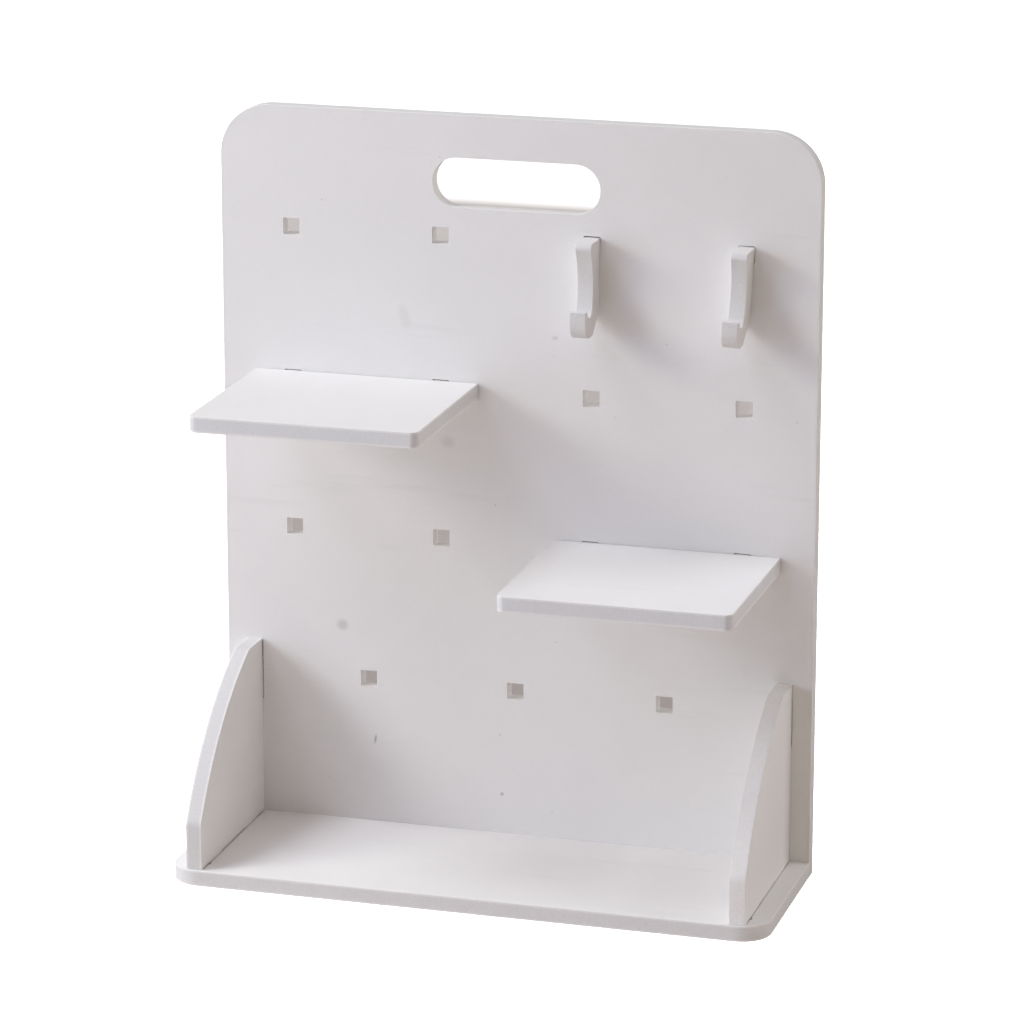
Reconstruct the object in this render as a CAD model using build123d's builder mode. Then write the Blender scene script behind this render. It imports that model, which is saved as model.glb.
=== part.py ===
"""Desk organizer cut from flat board: a pegboard back, a tray at its foot, two shelves and two hooks.

Millimetres, +Z up. The origin is the centre of the base board's underside, X runs along the panel
and the panel stands behind the base, towards +Y.
"""
import os
from math import cos, radians, sin

from build123d import *

os.makedirs("parts", exist_ok=True)

# Board stock, the same for every piece
board_thickness = 7.9
edge_break = 0.2

# Back panel
panel_width = 300.0
panel_height = 370.0
panel_corner_radius = 25.0

# Carrying slot near the panel's top edge
handle_length = 84.0
handle_height = 24.6
handle_top_margin = 20.8

# Square peg holes: full rows, then one more row set half a column over
peg_clearance = 0.5
peg_corner_radius = 0.5
peg_pitch = 76.0
peg_columns = 4
full_rows = 3
top_row_drop = 59.5

# Base board
base_depth = 95.0
base_corner_radius = 15.0
base_tenon_count = 3
base_tenon_width = 40.0
base_tenon_pitch = 100.0

# Side panels, with a flat top, a bowed front edge and a short upright foot
side_inset = 10.0
side_setback = 1.5
side_height = 90.5
side_flat_top = 19.0
side_front_height = 23.0
side_bow = 8.0
side_blend_radius = 7.0
side_seat_gap = 0.25

# Tenons and slots that hold the tray together
tenon_width = 20.0
tenon_shoulder = 10.0
tenon_recess = 0.3
mortise_play = 0.25
mortise_end_play = 0.8

# Loose shelves
shelf_depth = 99.7
shelf_overhang = 19.0
shelf_corner_radius = 4.0
shelf_tenon_play = 0.5
seat_gap = 0.3

# Loose hooks: a tab, a head, a waisted neck, a throat and a lip
hook_tab_play = 0.6
hook_height = 45.2
hook_reach = 26.0
hook_brow_depth = 18.0
hook_head_radius = 2.6
hook_neck_depth = 13.6
hook_waist = 3.6
hook_neck_drop = 32.0
hook_lip_drop = 31.3
hook_lip_thickness = 3.8
hook_heel_drop = 34.0
hook_sole_length = 5.0
hook_toe_height = 8.5
hook_lean = 3.0

# Sizes that follow from those above
panel_front = base_depth / 2
peg_hole = board_thickness + peg_clearance
top_row = panel_height - top_row_drop
handle_centre = panel_height - handle_top_margin - handle_height / 2
tenon_length = board_thickness - tenon_recess
mortise_width = board_thickness + 2 * mortise_play
mortise_length = tenon_width + 2 * mortise_end_play
side_centre = panel_width / 2 - side_inset - board_thickness / 2
side_bottom = board_thickness + side_seat_gap
side_depth = base_depth - side_setback
side_tenon_centre = side_height - tenon_shoulder - tenon_width / 2
foot_tenon_centres = (tenon_shoulder + tenon_width / 2, side_depth - tenon_shoulder - tenon_width / 2)


def peg_x(column):
    return (column - (peg_columns - 1) / 2) * peg_pitch


def peg_z(row):
    return top_row - row * peg_pitch


def upright_plane(x, z, lean=0.0):
    """Plane square to the panel, local x forwards from its face and local y up, leaning by an angle."""
    turn = radians(lean)
    return Plane(origin=(x, panel_front, z), x_dir=(0, -1, 0), z_dir=(-cos(turn), 0, sin(turn)))


def ease_edges(part):
    """Break the long edges round both broad faces of a board."""
    faces = part.faces().sort_by(SortBy.AREA)[-2:]
    chamfer([edge for face in faces for edge in face.outer_wire().edges()], length=edge_break)


# Back panel
peg_centres = [(peg_x(column), peg_z(row)) for row in range(full_rows) for column in range(peg_columns)]
peg_centres += [(peg_x(column + 1 / 2), peg_z(full_rows)) for column in range(peg_columns - 1)]

panel_face = Plane(origin=(0, panel_front, 0), x_dir=(1, 0, 0), z_dir=(0, -1, 0))

with BuildPart() as back_panel:
    with BuildSketch(panel_face) as panel_outline:
        Rectangle(panel_width, panel_height, align=(Align.CENTER, Align.MIN))
        fillet(panel_outline.vertices().group_by(Axis.Y)[-1], radius=panel_corner_radius)
        with Locations((0, handle_centre)):
            SlotOverall(handle_length, handle_height, mode=Mode.SUBTRACT)
        with Locations(*peg_centres):
            RectangleRounded(peg_hole, peg_hole, peg_corner_radius, mode=Mode.SUBTRACT)
        with Locations((0, side_bottom + side_tenon_centre)):
            with GridLocations(2 * side_centre, 0, 2, 1):
                Rectangle(mortise_width, mortise_length, mode=Mode.SUBTRACT)
    extrude(amount=-board_thickness)
    ease_edges(back_panel)
    # sharp notches, so that the panel stands on the base's tenons without a gap
    with BuildSketch(panel_face):
        with GridLocations(base_tenon_pitch, 0, base_tenon_count, 1):
            Rectangle(base_tenon_width + 2 * mortise_play, board_thickness, align=(Align.CENTER, Align.MIN))
    extrude(amount=-board_thickness, mode=Mode.SUBTRACT)
back_panel.part.label = "back_panel"
export_step(back_panel.part, "parts/back_panel.step")

# Base board
with BuildPart() as base_board:
    with BuildSketch() as base_outline:
        Rectangle(panel_width, base_depth)
        fillet(base_outline.vertices().group_by(Axis.Y)[0], radius=base_corner_radius)
        with Locations((0, panel_front)):
            with GridLocations(base_tenon_pitch, 0, base_tenon_count, 1):
                Rectangle(base_tenon_width, tenon_length, align=(Align.CENTER, Align.MIN))
        for centre in foot_tenon_centres:
            with Locations((0, panel_front - centre)):
                with GridLocations(2 * side_centre, 0, 2, 1):
                    Rectangle(mortise_width, mortise_length, mode=Mode.SUBTRACT)
    extrude(amount=board_thickness)
    ease_edges(base_board)
base_board.part.label = "base_board"
export_step(base_board.part, "parts/base_board.step")

# Side panels
for side_name, side_x in (("left_side_panel", -side_centre), ("right_side_panel", side_centre)):
    with BuildPart() as side_panel:
        with BuildSketch(upright_plane(side_x, side_bottom)) as side_outline:
            with BuildLine():
                foot_top = (side_depth, side_front_height)
                brow = (side_flat_top, side_height)
                Polyline(brow, (0, side_height), (0, 0), (side_depth, 0), foot_top)
                SagittaArc(foot_top, brow, -side_bow)
            make_face()
            foot_corner = side_outline.vertices().group_by(Axis.X)[-1].sort_by(Axis.Y)[-1]
            brow_corner = side_outline.vertices().group_by(Axis.Y)[-1].sort_by(Axis.X)[-1]
            fillet([foot_corner, brow_corner], radius=side_blend_radius)
            with Locations((0, side_tenon_centre)):
                Rectangle(tenon_length, tenon_width, align=(Align.MAX, Align.CENTER))
            with Locations(*[(centre, 0) for centre in foot_tenon_centres]):
                Rectangle(tenon_width, tenon_length, align=(Align.CENTER, Align.MAX))
        extrude(amount=board_thickness / 2, both=True)
        ease_edges(side_panel)
    side_panel.part.label = side_name
    export_step(side_panel.part, f"parts/{side_name}.step")

# Shelves, each with its tenons in two neighbouring holes, resting on the bottoms of the holes
shelf_width = peg_pitch + 2 * shelf_overhang
shelf_tenon_width = peg_hole - 2 * shelf_tenon_play
shelf_tenon_length = seat_gap + tenon_length

for shelf_name, first_column, shelf_row in (("upper_shelf", 0, 1), ("lower_shelf", 2, 2)):
    shelf_x = peg_x(first_column + 1 / 2)
    shelf_underside = peg_z(shelf_row) - peg_hole / 2
    shelf_plane = Plane(origin=(shelf_x, panel_front - seat_gap, shelf_underside))
    with BuildPart() as shelf:
        with BuildSketch(shelf_plane) as shelf_outline:
            Rectangle(shelf_width, shelf_depth, align=(Align.CENTER, Align.MAX))
            fillet(shelf_outline.vertices().group_by(Axis.Y)[0], radius=shelf_corner_radius)
            with GridLocations(peg_pitch, 0, 2, 1):
                Rectangle(shelf_tenon_width, shelf_tenon_length, align=(Align.CENTER, Align.MIN))
        extrude(amount=board_thickness)
        ease_edges(shelf)
    shelf.part.label = shelf_name
    export_step(shelf.part, f"parts/{shelf_name}.step")

# Hooks, drawn from the panel's face forwards and from the hook's top down
hook_tab_height = peg_hole - hook_tab_play
hook_top = hook_tab_height - peg_hole / 2

for hook_name, hook_column, lean in (("left_hook", 2, 0.0), ("right_hook", 3, hook_lean)):
    # a leaning tab stands on one eased corner, so the hook sits that much higher
    corner_lift = (board_thickness / 2 - edge_break) * sin(radians(lean))
    hook_plane = upright_plane(peg_x(hook_column), peg_z(0) + corner_lift, lean)
    with BuildPart() as hook:
        with BuildSketch(hook_plane) as hook_outline:
            with BuildLine():
                brow = (hook_brow_depth, hook_top)
                neck = (hook_neck_depth, hook_top - hook_neck_drop)
                lip = (hook_reach - hook_lip_thickness, hook_top - hook_lip_drop)
                tip = (hook_reach, hook_top - hook_lip_drop)
                toe = (hook_reach, hook_top - hook_height + hook_toe_height)
                sole = (hook_reach - hook_toe_height, hook_top - hook_height)
                heel = (hook_reach - hook_toe_height - hook_sole_length, hook_top - hook_height)
                front = SagittaArc(brow, neck, -hook_waist)
                TangentArc(neck, lip, tangent=front % 1)
                Polyline(lip, tip, toe)
                RadiusArc(toe, sole, hook_toe_height)
                Polyline(sole, heel, (seat_gap, hook_top - hook_heel_drop), (seat_gap, hook_top), brow)
            make_face()
            head_corner = hook_outline.vertices().group_by(Axis.Y)[-1].sort_by(Axis.X)[-1]
            fillet(head_corner, radius=hook_head_radius)
            with Locations((seat_gap, hook_top)):
                Rectangle(seat_gap + tenon_length, hook_tab_height, align=(Align.MAX, Align.MAX))
        extrude(amount=board_thickness / 2, both=True)
        ease_edges(hook)
    hook.part.label = hook_name
    export_step(hook.part, f"parts/{hook_name}.step")
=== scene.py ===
# White pegboard desk organizer: board finishes, soft studio light and the photograph's camera
import bmesh
import bpy
import math
from mathutils import Euler, Matrix, Vector


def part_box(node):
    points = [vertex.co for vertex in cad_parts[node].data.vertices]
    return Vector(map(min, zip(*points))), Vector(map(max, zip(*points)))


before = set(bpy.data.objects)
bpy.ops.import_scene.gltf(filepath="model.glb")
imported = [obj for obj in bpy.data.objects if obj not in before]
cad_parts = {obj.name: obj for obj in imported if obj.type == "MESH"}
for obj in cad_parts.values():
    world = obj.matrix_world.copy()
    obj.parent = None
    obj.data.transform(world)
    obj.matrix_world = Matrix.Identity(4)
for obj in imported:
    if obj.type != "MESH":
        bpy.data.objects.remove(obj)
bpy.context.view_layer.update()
scene = bpy.context.scene
mm = 0.001
pureWhite = (1.0, 1.0, 1.0, 1.0)
nodeGrid = {"columns": 9, "width": 190, "height": 280}  # places of the nodes in the shader editor


# node helpers: a socket is linked, anything else becomes the input's own value
def addNode(tree, kind, inputs, **options):
    node = tree.nodes.new(kind)
    row, column = divmod(len(tree.nodes), nodeGrid["columns"])
    node.location = (column * nodeGrid["width"], -row * nodeGrid["height"])
    for option, value in options.items():
        setattr(node, option, value)
    for socket, value in inputs.items():
        if isinstance(value, bpy.types.NodeSocket):
            tree.links.new(value, node.inputs[socket])
        else:
            node.inputs[socket].default_value = value
    return node


def maths(tree, operation, *values):
    return addNode(tree, "ShaderNodeMath", dict(enumerate(values)), operation=operation).outputs[0]


def product(tree, first, *others):
    for other in others:
        first = maths(tree, "MULTIPLY", first, other)
    return first


def addShares(tree, start, masks, shares):  # each mask adds its own share to the start value
    for name, share in shares.items():
        start = maths(tree, "MULTIPLY_ADD", masks[name], share, start)
    return start


def vectors(tree, operation, *values):
    return addNode(tree, "ShaderNodeVectorMath", dict(enumerate(values)), operation=operation).outputs[0]


def separate(tree, vector):
    return addNode(tree, "ShaderNodeSeparateXYZ", {0: vector}).outputs


def smoothRamp(tree, value, start, end):  # 0 at start, 1 at end, eased between
    limits = {"Value": value, "From Min": start, "From Max": end}
    return addNode(tree, "ShaderNodeMapRange", limits, interpolation_type="SMOOTHSTEP").outputs[0]


def fadeOut(tree, share, full):  # 1 up to full, then down to 0 where the share is 1
    return smoothRamp(tree, share, 1.0, full)


def noise(tree, place, look):
    inputs = {"Vector": place, "Scale": look["scale"], "Detail": look["detail"]}
    inputs["Roughness"] = look["roughness"]
    return addNode(tree, "ShaderNodeTexNoise", inputs, noise_dimensions="3D").outputs[0]


def evenNoise(tree, place, look):  # as much below zero as above
    return maths(tree, "SUBTRACT", noise(tree, place, look), 0.5)


def cells(tree, place, scale, dimensions):
    inputs = {"Vector": place, "Scale": scale}
    return addNode(tree, "ShaderNodeTexVoronoi", inputs, voronoi_dimensions=dimensions).outputs


def mixColours(tree, share, first, second, blend="MIX"):
    inputs = {0: share, 6: first, 7: second}
    return addNode(tree, "ShaderNodeMix", inputs, data_type="RGBA", blend_type=blend).outputs[2]


def newGroup(name, takes, gives):
    tree = bpy.data.node_groups.new(name, "ShaderNodeTree")
    for direction, sockets in (("INPUT", takes), ("OUTPUT", gives)):
        for socketName, kind in sockets.items():
            tree.interface.new_socket(socketName, in_out=direction, socket_type="NodeSocket" + kind)
    return tree, addNode(tree, "NodeGroupInput", {}).outputs, addNode(tree, "NodeGroupOutput", {}).inputs


# foamed board: hard smooth skins on both broad faces, a greyer porous core on the cut edges
boardLook = {
    "specular": 0.35,
    "bump": {"Strength": 0.6, "Distance": 0.06 * mm},
    "seedStep": 0.2,  # from one board of a kind to the next
    "cut": (0.9, 0.4),  # how squarely a broad face and a cut edge face across the board
    "cloud": {"scale": 20.0, "detail": 2.0, "roughness": 0.55},  # patches of about 50 mm
    "grain": {"scale": 1300.0, "detail": 1.0, "roughness": 0.55},
    "grainStretch": (0.3, 1.0, 1.0),  # drawn out along the sheet
    "milling": {"scale": 1900.0, "detail": 1.0, "roughness": 0.7},
    "millingStretch": (1.0, 1.0, 0.03),  # lines that cross the cut edge
    "coreBorder": (0.9, 0.62),  # from skin to core, in shares of half the thickness
    "coreWander": 0.16,  # how far the milling moves that border
    "poreScale": 1500.0,
    "pore": (0.34, 0.16),
    "speckScale": 34.0,
    "speckSmallest": 0.006,  # sizes in shares of the pattern's cell
    "speckSpread": 0.02,
    "speckFull": 0.4,
    "speckChosen": (0.55, 0.9),  # under half of the cells have one
    "scuff": {"scale": 38.0, "detail": 3.0, "roughness": 0.65},
    "scuffTurn": (0.0, 0.0, math.radians(24.0)),
    "scuffStretch": (0.22, 2.6, 1.0),
    "scuffRange": (0.6, 0.76),
    "rim": (2.2 * mm, 0.0),
    "worn": (-0.08, 0.12),  # clouds where the rim is sound and where it is worn
    "litWall": (9.0 * mm, 13.0 * mm),  # cut faces this far in are the walls of holes, painted paler as painted light
    "shade": {
        "grain": 0.035, "speck": -0.3, "scuff": -0.045, "rim": -0.03, "pores": -0.14, "ridges": 0.05,
    },
    "skinRoughness": 0.58,
    "roughness": {
        "core": 0.16, "cloud": 0.1, "grain": 0.12, "scuff": -0.1, "rim": -0.06, "speck": 0.1,
    },
    "height": {"grain": 0.35, "ridges": 0.9},
}


def makeBoardFinish(look):
    takes = {
        "Place": "Vector", "Facing": "Vector", "Half Size": "Vector", "Seed": "Float", "Skin": "Color",
        "Core": "Color", "Lit Wall": "Color", "Cloud": "Float", "Specks": "Float", "Scuffs": "Float",
    }
    gives = {"Colour": "Color", "Roughness": "Float", "Height": "Float"}
    tree, given, result = newGroup("boardFinish", takes, gives)
    across = separate(tree, vectors(tree, "ABSOLUTE", given["Place"]))
    reach = separate(tree, given["Half Size"])
    facing = separate(tree, vectors(tree, "ABSOLUTE", given["Facing"]))
    cut = smoothRamp(tree, facing["Z"], *look["cut"])  # 1 on a cut edge, 0 on a broad face
    broad = maths(tree, "SUBTRACT", 1.0, cut)

    # even textures: slow clouds, drawn-out grain, milling lines and bubbles
    sheet = vectors(tree, "ADD", given["Place"], given["Seed"])  # another stretch of it for each board
    cloud = evenNoise(tree, sheet, look["cloud"])
    grain = evenNoise(tree, vectors(tree, "MULTIPLY", sheet, look["grainStretch"]), look["grain"])
    milling = evenNoise(tree, vectors(tree, "MULTIPLY", sheet, look["millingStretch"]), look["milling"])
    bubble = cells(tree, sheet, look["poreScale"], "3D")["Distance"]

    # the core shows between the skins, with an uneven border
    depth = maths(tree, "DIVIDE", across["Z"], reach["Z"])
    border = maths(tree, "MULTIPLY_ADD", milling, look["coreWander"], depth)
    core = product(tree, cut, smoothRamp(tree, border, *look["coreBorder"]))
    pores = product(tree, core, smoothRamp(tree, bubble, *look["pore"]))
    ridges = product(tree, milling, cut)

    # small grey specks, some of them left out, and wiped marks on the broad faces
    speckCell = cells(tree, sheet, look["speckScale"], "2D")
    chance = addNode(tree, "ShaderNodeSeparateColor", {0: speckCell["Color"]}).outputs
    speckSize = maths(tree, "MULTIPLY_ADD", chance["Green"], look["speckSpread"], look["speckSmallest"])
    speck = fadeOut(tree, maths(tree, "DIVIDE", speckCell["Distance"], speckSize), look["speckFull"])
    chosen = smoothRamp(tree, chance["Red"], *look["speckChosen"])
    speck = product(tree, speck, chosen, given["Specks"], broad)
    turned = {"Vector": sheet, "Rotation": look["scuffTurn"], "Scale": look["scuffStretch"]}
    wiped = addNode(tree, "ShaderNodeMapping", turned).outputs[0]
    scuff = smoothRamp(tree, noise(tree, wiped, look["scuff"]), *look["scuffRange"])
    scuff = product(tree, scuff, given["Scuffs"], broad)

    # handling wears the straight borders of the broad faces
    gapX = maths(tree, "SUBTRACT", reach["X"], across["X"])
    gapY = maths(tree, "SUBTRACT", reach["Y"], across["Y"])
    gap = maths(tree, "MINIMUM", gapX, gapY)
    worn = smoothRamp(tree, cloud, *look["worn"])
    rim = product(tree, smoothRamp(tree, gap, *look["rim"]), worn, broad)

    # colour, roughness and relief
    masks = {
        "cloud": cloud, "grain": grain, "core": core, "pores": pores, "ridges": ridges,
        "speck": speck, "scuff": scuff, "rim": rim,
    }
    # the walls of holes take a paler colour: painted light scattered into them
    edge = mixColours(tree, smoothRamp(tree, gap, *look["litWall"]), given["Core"], given["Lit Wall"])
    base = mixColours(tree, core, given["Skin"], edge)
    shade = maths(tree, "MULTIPLY_ADD", cloud, given["Cloud"], 1.0)
    shade = addShares(tree, shade, masks, look["shade"])
    tree.links.new(vectors(tree, "MULTIPLY", base, shade), result["Colour"])
    roughness = addShares(tree, look["skinRoughness"], masks, look["roughness"])
    tree.links.new(roughness, result["Roughness"])
    tree.links.new(addShares(tree, 0.0, masks, look["height"]), result["Height"])
    return tree


# marks on a face: soft smudges, and painted shade as dark lines along the gaps at a joint
markLook = {
    "smudgeFull": 0.25,  # the part at full strength, in shares of the mark's half size
    "seamFull": 0.2,
    "seamEndFull": 0.9,
    "depth": 2.0 * mm,  # how far a mark reaches into the board
}


def makeBoardMark(look):
    takes = {"Place": "Vector", "Centre": "Vector", "Half Size": "Vector", "Turn": "Float"}
    tree, given, result = newGroup("boardMark", takes, {"Mask": "Float"})
    offset = vectors(tree, "SUBTRACT", given["Place"], given["Centre"])
    spin = {"Vector": offset, "Angle": given["Turn"]}
    turned = addNode(tree, "ShaderNodeVectorRotate", spin, rotation_type="Z_AXIS").outputs[0]
    shares = vectors(tree, "DIVIDE", turned, given["Half Size"])
    length = addNode(tree, "ShaderNodeVectorMath", {0: shares}, operation="LENGTH").outputs["Value"]
    tree.links.new(fadeOut(tree, length, look["smudgeFull"]), result["Mask"])
    return tree


def makeSeamShade(look):  # painted shade along a gap: soft across the line and crisp at its ends
    takes = {"Place": "Vector", "Centre": "Vector", "Half Size": "Vector"}
    tree, given, result = newGroup("seamShade", takes, {"Mask": "Float"})
    offset = vectors(tree, "ABSOLUTE", vectors(tree, "SUBTRACT", given["Place"], given["Centre"]))
    share = separate(tree, vectors(tree, "DIVIDE", offset, given["Half Size"]))
    line = fadeOut(tree, share["X"], look["seamFull"])
    ends = [fadeOut(tree, share[axis], look["seamEndFull"]) for axis in "YZ"]
    tree.links.new(product(tree, line, *ends), result["Mask"])
    return tree


boardFinish = makeBoardFinish(boardLook)
boardMark = makeBoardMark(markLook)
seamShade = makeSeamShade(markLook)
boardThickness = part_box("base_board")[1].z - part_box("base_board")[0].z
print("board finish made for", round(boardThickness / mm, 2), "mm board")


def addMark(tree, shape, place, mark, colour, faceHeight):  # the mark's sizes are in millimetres
    values = {
        "Place": place,
        "Centre": (mark["at"][0] * mm, mark["at"][1] * mm, faceHeight),
        "Half Size": (mark["half"][0] * mm, mark["half"][1] * mm, markLook["depth"]),
    }
    if "turn" in mark:
        values["Turn"] = math.radians(mark["turn"])
    mask = addNode(tree, "ShaderNodeGroup", values, node_tree=shape).outputs["Mask"]
    return mixColours(tree, product(tree, mask, mark["strength"]), colour, mark["colour"], "MULTIPLY")


def makeBoardMaterial(name, piece, turn):
    low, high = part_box(name)
    turned = Euler([math.radians(angle) for angle in turn])
    half = turned.to_matrix().transposed() @ ((high - low) / 2)  # sizes along the board's own axes
    halfSize = (abs(half.x), abs(half.y), boardThickness / 2)
    material = bpy.data.materials.new(name + "Board")
    material.use_nodes = True
    tree = material.node_tree
    shader = tree.nodes["Principled BSDF"]
    shader.inputs["Specular IOR Level"].default_value = boardLook["specular"]

    # the board's own frame: centre at zero, Z across the thickness
    spot = addNode(tree, "ShaderNodeTexCoord", {}).outputs
    frameTurn = {"Vector": spot["Object"], "Location": (low + high) / 2, "Rotation": turned}
    place = addNode(tree, "ShaderNodeMapping", frameTurn, vector_type="TEXTURE").outputs[0]
    faceTurn = {"Vector": spot["Normal"], "Rotation": turned}
    facing = addNode(tree, "ShaderNodeMapping", faceTurn, vector_type="TEXTURE").outputs[0]
    values = {
        "Place": place, "Facing": facing, "Half Size": halfSize, "Seed": piece["seed"],
        "Skin": piece["skin"], "Core": piece["core"], "Lit Wall": piece.get("litWall", piece["core"]),
        "Cloud": piece["cloud"], "Specks": piece["specks"], "Scuffs": piece["scuffs"],
    }
    finish = addNode(tree, "ShaderNodeGroup", values, node_tree=boardFinish).outputs
    colour = finish["Colour"]
    # smudges first, then the painted shade along the gaps
    for shape, kind in ((boardMark, "marks"), (seamShade, "shadeSeams")):
        for mark in piece.get(kind, {}).values():
            colour = addMark(tree, shape, place, mark, colour, halfSize[2])
    bump = addNode(tree, "ShaderNodeBump", dict(boardLook["bump"], Height=finish["Height"]))
    tree.links.new(colour, shader.inputs["Base Color"])
    tree.links.new(finish["Roughness"], shader.inputs["Roughness"])
    tree.links.new(bump.outputs[0], shader.inputs["Normal"])
    return material


def dressBoards(piece):
    for number, (name, turn) in enumerate(piece["turns"].items()):
        settings = dict(piece, seed=piece["seed"] + boardLook["seedStep"] * number)
        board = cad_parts[name]
        board.data.materials.clear()
        board.data.materials.append(makeBoardMaterial(name, settings, turn))
    print("dressed", ", ".join(piece["turns"]))


# turns in degrees that take a sheet from lying flat to its place, and colours that boards share
lying, upright, onEdge = (0.0, 0.0, 0.0), (90.0, 0.0, 0.0), (0.0, 90.0, 0.0)
plainSkin = (0.845, 0.825, 0.803, 1.0)
plainCore = (0.735, 0.715, 0.695, 1.0)
# greys of the painted shade in the gaps at the joints
gapShadeGrey = (0.16, 0.15, 0.15, 1.0)
slotShadeGrey = (0.12, 0.11, 0.11, 1.0)

# back panel, with the few marks that use has left on its face
backPanel = {
    "turns": {"back_panel": upright},
    "seed": 0.3,
    "skin": plainSkin,
    "core": plainCore,
    # hole walls paler than the cut edges: painted light
    "litWall": (0.9, 0.875, 0.845, 1.0),
    "cloud": 0.06,
    "specks": 0.6,
    "scuffs": 0.8,
    "marks": {  # places from the panel's centre, right and up
        "roundSmudge": {"at": (-89.6, -75.6), "half": (4.2, 4.0), "turn": 0.0,
                        "strength": 0.3, "colour": (0.3, 0.3, 0.29, 1.0)},
        "shelfSmudge": {"at": (-34.4, 22.6), "half": (5.0, 4.2), "turn": 20.0,
                        "strength": 0.14, "colour": (0.3, 0.26, 0.25, 1.0)},
        "tick": {"at": (-72.8, -134.0), "half": (0.9, 3.4), "turn": 10.0,
                 "strength": 0.5, "colour": (0.25, 0.24, 0.23, 1.0)},
        "lowSpeck": {"at": (-6.8, -156.7), "half": (1.3, 1.3), "turn": 0.0,
                     "strength": 0.5, "colour": (0.25, 0.25, 0.25, 1.0)},
        "palmSmear": {"at": (-56.4, 83.9), "half": (4.0, 9.0), "turn": -18.0,
                      "strength": 0.1, "colour": (0.4, 0.4, 0.3, 1.0)},
        "hookSpeck": {"at": (19.8, 78.5), "half": (2.2, 1.5), "turn": 0.0,
                      "strength": 0.22, "colour": (0.3, 0.32, 0.3, 1.0)},
    },
    "shadeSeams": {  # painted shade in the gaps beside the sides' tenons
        "leftSlot": {"at": (-131.85, -102.5), "half": (0.5, 15.9), "strength": 0.75, "colour": gapShadeGrey},
        "rightSlot": {"at": (140.2, -102.5), "half": (0.4, 15.9), "strength": 0.3, "colour": gapShadeGrey},
    },
}
dressBoards(backPanel)

# base board of the tray
baseBoard = {
    "turns": {"base_board": lying},
    "seed": 0.9,
    # skin and core painted paler than the other boards': painted light
    "skin": (0.885, 0.864, 0.84, 1.0),
    "core": (0.775, 0.755, 0.735, 1.0),
    "cloud": 0.06,
    "specks": 0.5,
    "scuffs": 1.0,
    "shadeSeams": {  # painted shade in the gaps along the sides' feet, with the ends of their slots
        "leftFoot": {"at": (-131.85, -3.0), "half": (0.5, 46.5), "strength": 0.6, "colour": gapShadeGrey},
        "rightFoot": {"at": (140.2, -3.0), "half": (0.5, 46.5), "strength": 0.4, "colour": gapShadeGrey},
        "leftSlotEnd": {"at": (-131.6, -39.6), "half": (0.8, 1.5), "strength": 0.8, "colour": slotShadeGrey},
        "rightSlotEnd": {"at": (140.5, -39.6), "half": (0.8, 1.5), "strength": 0.8, "colour": slotShadeGrey},
    },
}
dressBoards(baseBoard)

# the two sides of the tray; the right one's cut edge is painted paler, which is painted light
sidePanel = {
    "skin": plainSkin,
    "cloud": 0.05,
    "specks": 0.3,
    "scuffs": 0.7,
}
leftSide = {"turns": {"left_side_panel": onEdge}, "seed": 1.3, "core": plainCore}
# the right side's paler core is painted light
rightSide = {"turns": {"right_side_panel": onEdge}, "seed": 1.5, "core": (0.88, 0.855, 0.83, 1.0)}
dressBoards(sidePanel | leftSide)
dressBoards(sidePanel | rightSide)

# loose shelves
shelves = {
    "turns": {"upper_shelf": lying, "lower_shelf": lying},
    "seed": 1.7,
    "skin": (0.855, 0.836, 0.816, 1.0),
    "core": (0.735, 0.725, 0.722, 1.0),
    "cloud": 0.05,
    "specks": 0.3,
    "scuffs": 0.7,
}
dressBoards(shelves)

# loose hooks, the right one leaning a little
hooks = {
    "turns": {"left_hook": onEdge, "right_hook": (0.0, 93.0, 0.0)},
    "seed": 2.1,
    # skin painted darker than the other boards' skin (painted shade), core painted paler (painted light)
    "skin": (0.76, 0.742, 0.722, 1.0),
    "core": (0.765, 0.745, 0.725, 1.0),
    "cloud": 0.05,
    "specks": 0.2,
    "scuffs": 0.6,
}
dressBoards(hooks)

# pale floor: one lamp lights the floor alone, so it is white and keeps the object's shadow
floorLook = {
    "half": (8.0, 8.0),
    "colour": (0.7, 0.63, 0.57, 1.0),
    "seenColour": (0.426, 0.376, 0.347, 1.0),  # greyer to look at, so that the shadow shows
    "roughness": 0.9,
    "specular": 0.0,
    "paleRange": (0.3, 1.475),  # painted light: a glow seen directly that pales the shadow with distance
    "paleMost": 0.315,
    "whiteRange": (1.515, 1.58),  # and past these distances the paper is plain white
    "wash": {"azimuth": 16.47, "elevation": 4.4, "distance": 3.0, "size": 0.08,
             "level": (35.0, 39.0, 43.0)},
    "washBlockers": ("back_panel", "upper_shelf", "lower_shelf", "left_hook", "right_hook"),
}


def seenDirectly(tree):  # 1 for camera, glossy and transmitted rays
    path = addNode(tree, "ShaderNodeLightPath", {}).outputs
    mirrored = maths(tree, "MAXIMUM", path["Is Glossy Ray"], path["Is Transmission Ray"])
    return maths(tree, "MAXIMUM", path["Is Camera Ray"], mirrored)


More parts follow.
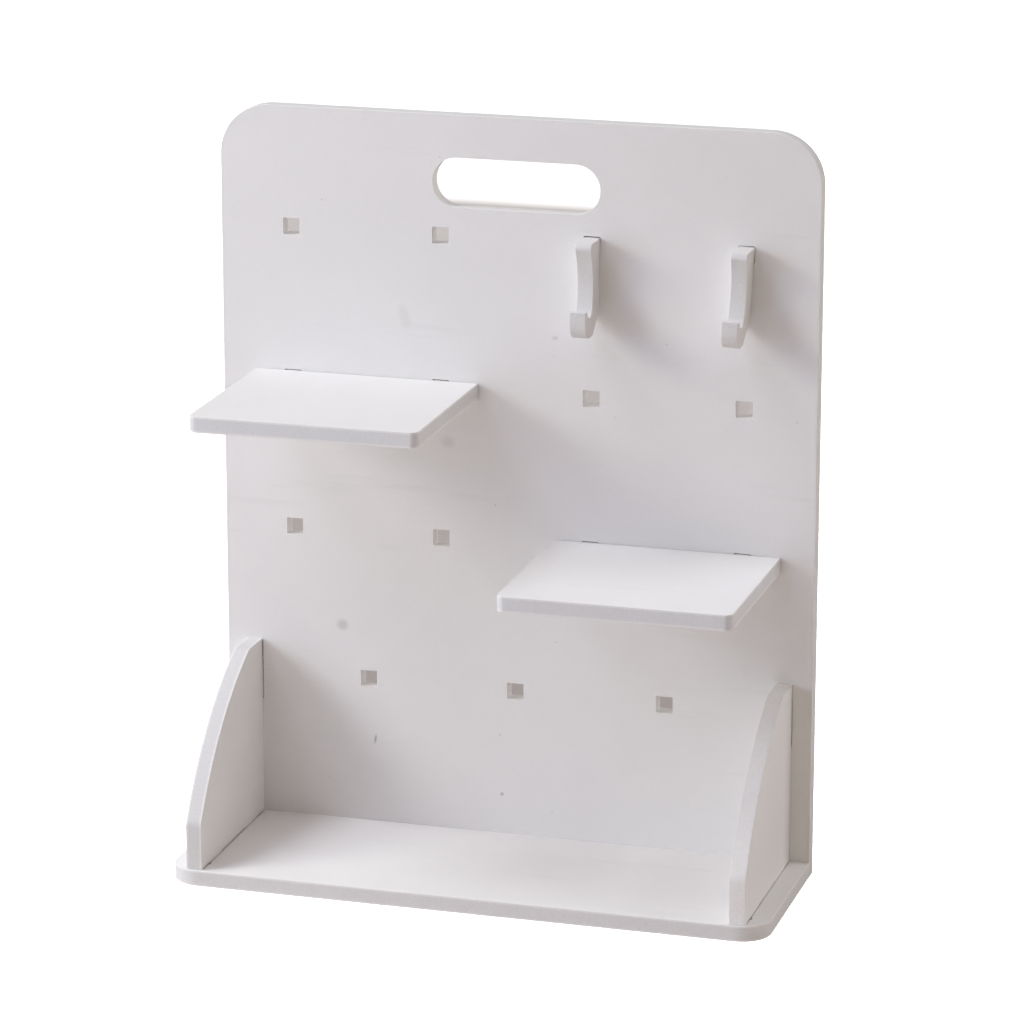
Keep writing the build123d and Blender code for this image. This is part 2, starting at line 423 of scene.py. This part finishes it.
def makePaper(look):
    material = bpy.data.materials.new("floorPaper")
    material.use_nodes = True
    tree = material.node_tree
    shader = tree.nodes["Principled BSDF"]
    shader.inputs["Roughness"].default_value = look["roughness"]
    shader.inputs["Specular IOR Level"].default_value = look["specular"]
    shader.inputs["Emission Color"].default_value = pureWhite
    place = addNode(tree, "ShaderNodeTexCoord", {}).outputs["Object"]
    offset = separate(tree, vectors(tree, "ABSOLUTE", place))
    away = maths(tree, "MAXIMUM", offset["X"], offset["Y"])
    white = smoothRamp(tree, away, *look["whiteRange"])
    # painted light: the pale ramp lightens the floor's shadow with distance
    fade = {"Value": away, "To Max": look["paleMost"]}
    fade["From Min"], fade["From Max"] = look["paleRange"]
    pale = addNode(tree, "ShaderNodeMapRange", fade).outputs[0]
    seen = seenDirectly(tree)
    glow = product(tree, seen, maths(tree, "MAXIMUM", white, pale))
    tree.links.new(glow, shader.inputs["Emission Strength"])
    colour = mixColours(tree, seen, look["colour"], look["seenColour"])
    tree.links.new(colour, shader.inputs["Base Color"])
    return material


def addSheet(name, half, place, material):
    mesh = bpy.data.meshes.new(name)
    grid = bmesh.new()
    size = Matrix.Diagonal((*half, 1.0, 1.0))
    bmesh.ops.create_grid(grid, x_segments=1, y_segments=1, size=1.0, matrix=size)
    grid.to_mesh(mesh)
    grid.free()
    mesh.materials.append(material)
    sheet = bpy.data.objects.new(name, mesh)
    sheet.matrix_world = place
    scene.collection.objects.link(sheet)
    return sheet


paper = makePaper(floorLook)
floor = addSheet("floor", floorLook["half"], Matrix.Identity(4), paper)

# an upright card inside the panel's foot stops the floor's own lamp at the notches
flagLook = {"half": (149.0 * mm, 6.0 * mm), "centre": (0.0, 51.5 * mm, 6.2 * mm), "tilt": 90.0}
flagTilt = Matrix.Rotation(math.radians(flagLook["tilt"]), 4, "X")
flagPlace = Matrix.Translation(flagLook["centre"]) @ flagTilt
flag = addSheet("washFlag", flagLook["half"], flagPlace, paper)

# world: white to look at, a faint warm light
worldLook = {"ambient": 0.242, "colour": (1.0, 0.876, 0.752, 1.0)}


def makeWorld(look):
    world = bpy.data.worlds.new("studio")
    scene.world = world
    world.use_nodes = True
    tree = world.node_tree
    output = next(node for node in tree.nodes if node.type == "OUTPUT_WORLD")
    light = addNode(tree, "ShaderNodeBackground", {"Color": look["colour"], "Strength": look["ambient"]})
    white = addNode(tree, "ShaderNodeBackground", {"Color": pureWhite, "Strength": 1.0})
    mixed = addNode(tree, "ShaderNodeMixShader", {0: seenDirectly(tree)})
    tree.links.new(light.outputs[0], mixed.inputs[1])
    tree.links.new(white.outputs[0], mixed.inputs[2])
    tree.links.new(mixed.outputs[0], output.inputs["Surface"])


makeWorld(worldLook)
print("floor and world made")

# lamps: azimuth counts from straight in front, left is negative; level is a white card's colour
lampTarget = Vector((0.0, 0.0, 0.17))
lamps = {
    "window": {"azimuth": -65.0, "elevation": 27.0, "distance": 1.9, "size": 0.7,
               "level": (0.372, 0.386, 0.378)},
    "highWindow": {"azimuth": -75.0, "elevation": 62.0, "distance": 3.2, "size": 1.18,
                   "level": (0.304, 0.324, 0.348)},
    "lowFill": {"azimuth": -50.0, "elevation": 8.0, "distance": 1.9, "size": 1.1,
                "level": (0.182, 0.208, 0.277)},
    "frontFill": {"azimuth": -30.0, "elevation": 48.0, "distance": 3.2, "size": 1.85,
                  "level": (0.078, 0.081, 0.129)},
    "backReturn": {"azimuth": 130.0, "elevation": 30.0, "distance": 3.2, "size": 1.85,
                   "level": (0.156, 0.174, 0.204)},
    "roomReturn": {"azimuth": 95.0, "elevation": 20.0, "distance": 3.2, "size": 1.85,
                   "level": (0.176, 0.168, 0.17)},
}


def addLamp(name, look):
    azimuth, elevation = math.radians(look["azimuth"]), math.radians(look["elevation"])
    flat = math.cos(elevation)
    towards = Vector((math.sin(azimuth) * flat, -math.cos(azimuth) * flat, math.sin(elevation)))
    strongest = max(look["level"])
    light = bpy.data.lights.new(name, "AREA")
    light.shape = "DISK"
    light.size = look["size"]
    light.energy = strongest * (math.pi * look["distance"]) ** 2
    light.color = [channel / strongest for channel in look["level"]]
    light.cycles.use_multiple_importance_sampling = False  # or the floor's own lamp brightens the rest
    lamp = bpy.data.objects.new(name, light)
    lamp.location = lampTarget + towards * look["distance"]
    lamp.rotation_euler = towards.to_track_quat("Z", "Y").to_euler()
    lamp.visible_camera = False
    scene.collection.objects.link(lamp)
    return lamp


def linkWash(lamp, look):  # an even light on the floor alone, which only the panel and its load stop
    washed = bpy.data.collections.new("washedFloor")
    washed.objects.link(floor)
    blockers = bpy.data.collections.new("washBlockers")
    for blocker in [flag] + [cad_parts[name] for name in look["washBlockers"]]:
        blockers.objects.link(blocker)
    lamp.light_linking.receiver_collection = washed
    lamp.light_linking.blocker_collection = blockers
    lamp.data.cycles.max_bounces = 0  # none of it reaches the object
    lamp.data.use_nodes = True
    tree = lamp.data.node_tree
    falloff = addNode(tree, "ShaderNodeLightFalloff", {"Strength": look["wash"]["distance"] ** -2})
    tree.links.new(falloff.outputs["Constant"], tree.nodes["Emission"].inputs["Strength"])


for lampName, lampLook in lamps.items():
    addLamp(lampName, lampLook)
linkWash(addLamp("floorWash", floorLook["wash"]), floorLook)
print("lamps placed:", ", ".join(lamps), "and the floor's own")

# camera: fitted to the photograph on the panel, slot, holes and shelves
cameraLook = {
    "spot": (0.6048, -2.0450, 0.7849),
    "pitch": -15.65,  # from level
    "yaw": 16.166,
    "roll": 0.05,
    "sensor": 36.0,
    "lens": 162.57,
}


def makeCamera(look):
    data = bpy.data.cameras.new("photoCamera")
    data.sensor_width = look["sensor"]
    data.lens = look["lens"]
    data.dof.use_dof = False
    camera = bpy.data.objects.new("photoCamera", data)
    aim = Euler((math.radians(90.0 + look["pitch"]), 0.0, math.radians(look["yaw"]))).to_matrix()
    camera.rotation_euler = (aim @ Matrix.Rotation(math.radians(look["roll"]), 3, "Z")).to_euler()
    camera.location = look["spot"]
    scene.collection.objects.link(camera)
    scene.camera = camera


makeCamera(cameraLook)
scene.view_settings.view_transform = "Standard"
print("camera set")
